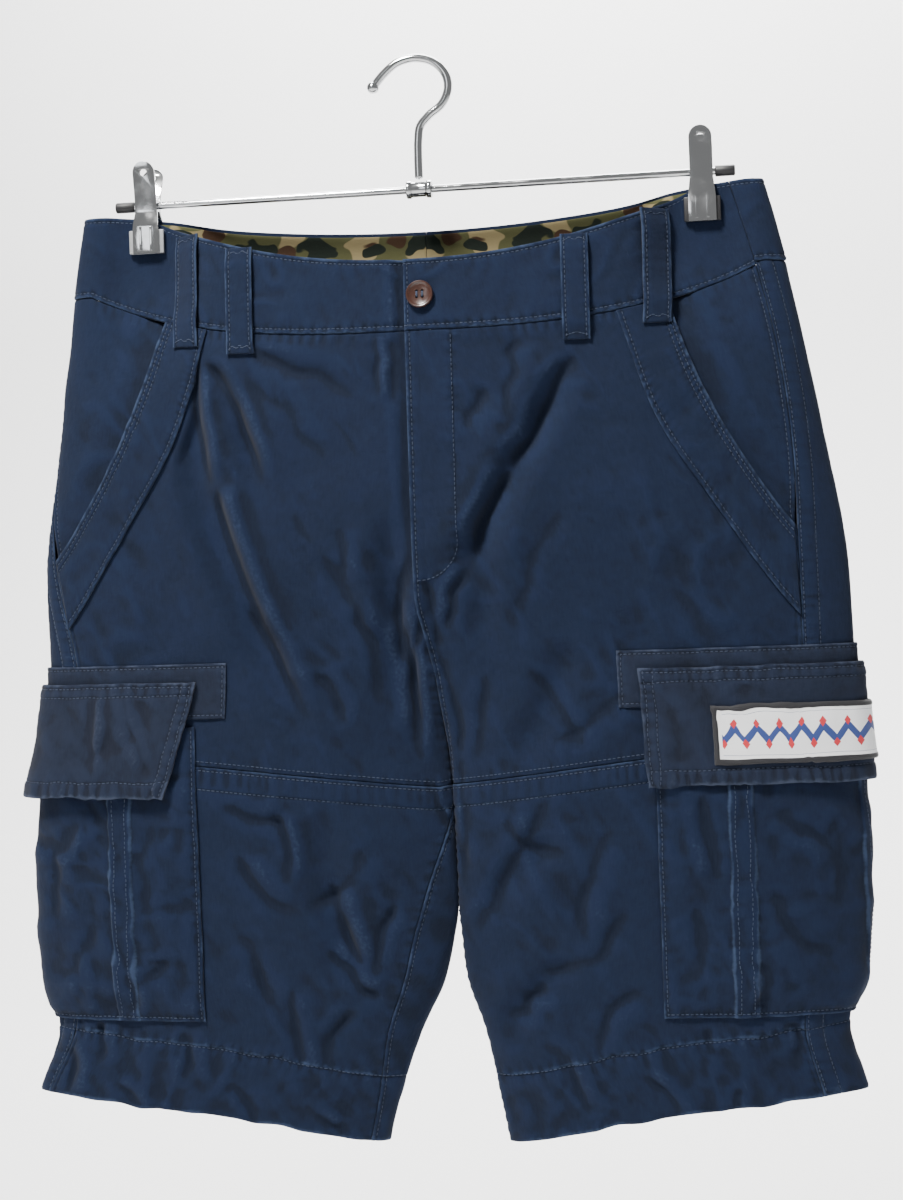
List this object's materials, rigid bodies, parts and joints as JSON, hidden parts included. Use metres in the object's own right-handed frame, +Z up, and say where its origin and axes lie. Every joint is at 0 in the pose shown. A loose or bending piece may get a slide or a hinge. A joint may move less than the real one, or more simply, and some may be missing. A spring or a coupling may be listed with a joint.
{
  "type": "cargo shorts on a clip hanger",
  "caption": "Knee-length navy cargo shorts with slanted front pockets, flapped cargo pockets and a camouflage waistband facing, held by the waist on a metal clip hanger.",
  "frame": {"origin": "inner top of the hanger's hook, where a rail carries it", "axes": "+Z up, -Y out of the front of the shorts, +X to the right of someone facing the front"},
  "size_m": [0.5738, 0.0797, 0.7249],
  "materials": {
    "twill": "washed navy cotton twill",
    "flap_twill": "washed grey-navy cotton twill",
    "camo_facing": "printed camouflage poplin",
    "thread": "navy sewing thread",
    "button": "dark brown polished",
    "patch": "embroidered white, navy and red",
    "chrome": "polished",
    "rubber": "black satin"
  },
  "bodies": {
    "root": {"front_upper_left": "twill", "front_lower_left": "twill", "back_left": "twill", "waistband_front_left": "twill", "waistband_back_left": "twill", "hip_panel_left": "twill", "pocket_trim_left": "twill", "cargo_pocket_left": "twill", "back_facing_left": "camo_facing", "flap_band_left": "flap_twill", "flap_left": "flap_twill", "clip_front_left": "chrome", "clip_back_left": "chrome", "clip_pad_front_left": "rubber", "clip_pad_back_left": "rubber", "hanger_cap_left": "rubber", "belt_loop_front_left": "twill", "belt_loop_side_left": "twill", "front_upper_right": "twill", "front_lower_right": "twill", "back_right": "twill", "waistband_front_right": "twill", "waistband_back_right": "twill", "hip_panel_right": "twill", "pocket_trim_right": "twill", "cargo_pocket_right": "twill", "back_facing_right": "camo_facing", "flap_band_right": "flap_twill", "flap_right": "flap_twill", "clip_front_right": "chrome", "clip_back_right": "chrome", "clip_pad_front_right": "rubber", "clip_pad_back_right": "rubber", "hanger_cap_right": "rubber", "belt_loop_front_right": "twill", "belt_loop_side_right": "twill", "belt_loop_back": "twill", "patch": "patch", "button": "button", "hanger_hook": "chrome", "hanger_hub": "chrome", "hanger_bar": "chrome"}
  },
  "joints": []
}
